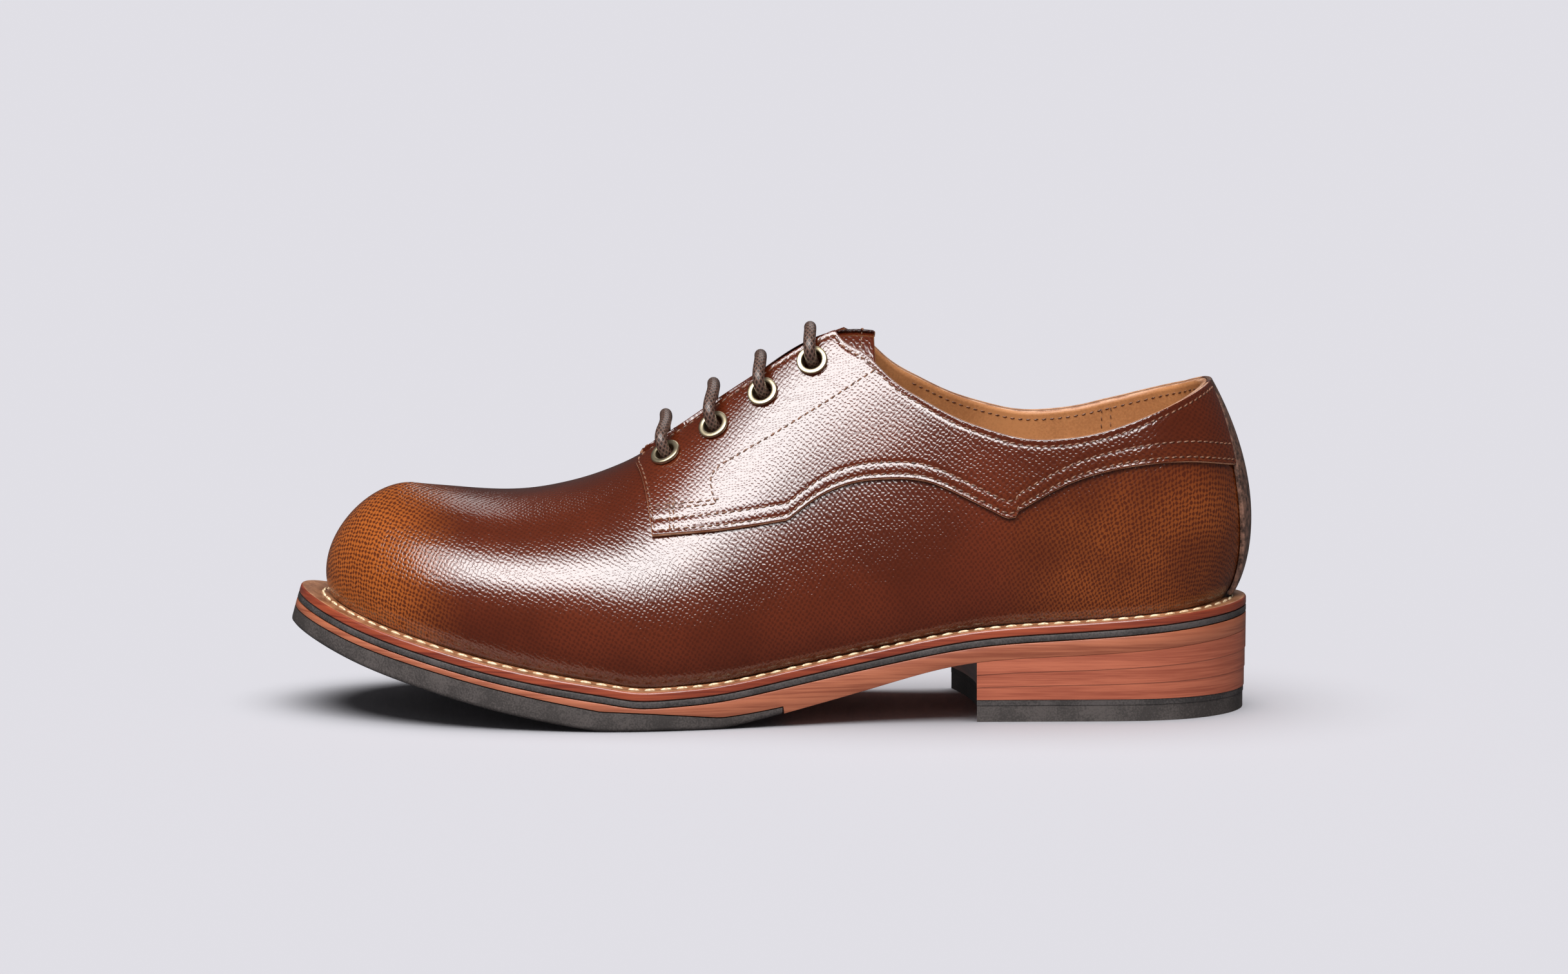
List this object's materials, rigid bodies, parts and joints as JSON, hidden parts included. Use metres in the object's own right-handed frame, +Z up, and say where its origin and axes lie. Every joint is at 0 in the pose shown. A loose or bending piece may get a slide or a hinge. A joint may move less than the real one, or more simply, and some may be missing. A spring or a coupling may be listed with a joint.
{
  "type": "derby shoe",
  "caption": "Left leather derby shoe with a round bulbous toe, swept quarters, open lacing through metal eyelets and a welted sole with a stacked heel.",
  "frame": {"origin": "on the floor, below the middle of the shoe's box", "axes": "+X from the toe towards the heel, +Y towards the inner side of the foot, +Z up"},
  "size_m": [0.3047, 0.1062, 0.123],
  "materials": {
    "upper_leather": "glossy embossed grain, burnished at toe and heel",
    "strip_leather": "dull mottled grain",
    "lining_leather": "smooth natural tan",
    "welt_leather": "stained and waxed edge, paler top",
    "sole_leather": "waxed cut edge",
    "heel_leather": "waxed cut edge of stacked lifts",
    "dark_rubber": "matt",
    "tread_rubber": "matt, lightly speckled",
    "brass": "aged and polished",
    "lace_cord": "waxed round braid"
  },
  "bodies": {
    "root": {"upper": "upper_leather", "quarter_outer": "upper_leather", "quarter_inner": "upper_leather", "tongue": "upper_leather", "back_strip": "strip_leather", "insole": "lining_leather", "welt": "welt_leather", "midsole_rubber": "dark_rubber", "leather_sole": "sole_leather", "rubber_half_sole": "tread_rubber", "heel_lift_1": "heel_leather", "heel_lift_2": "heel_leather", "heel_lift_3": "heel_leather", "top_piece_pad": "dark_rubber", "top_piece_rubber": "tread_rubber", "eyelet_outer_1": "brass", "eyelet_outer_2": "brass", "eyelet_outer_3": "brass", "eyelet_outer_4": "brass", "eyelet_inner_1": "brass", "eyelet_inner_2": "brass", "eyelet_inner_3": "brass", "eyelet_inner_4": "brass", "lace_bar_1": "lace_cord", "lace_bar_2": "lace_cord", "lace_bar_3": "lace_cord", "lace_bar_4": "lace_cord"}
  },
  "joints": []
}
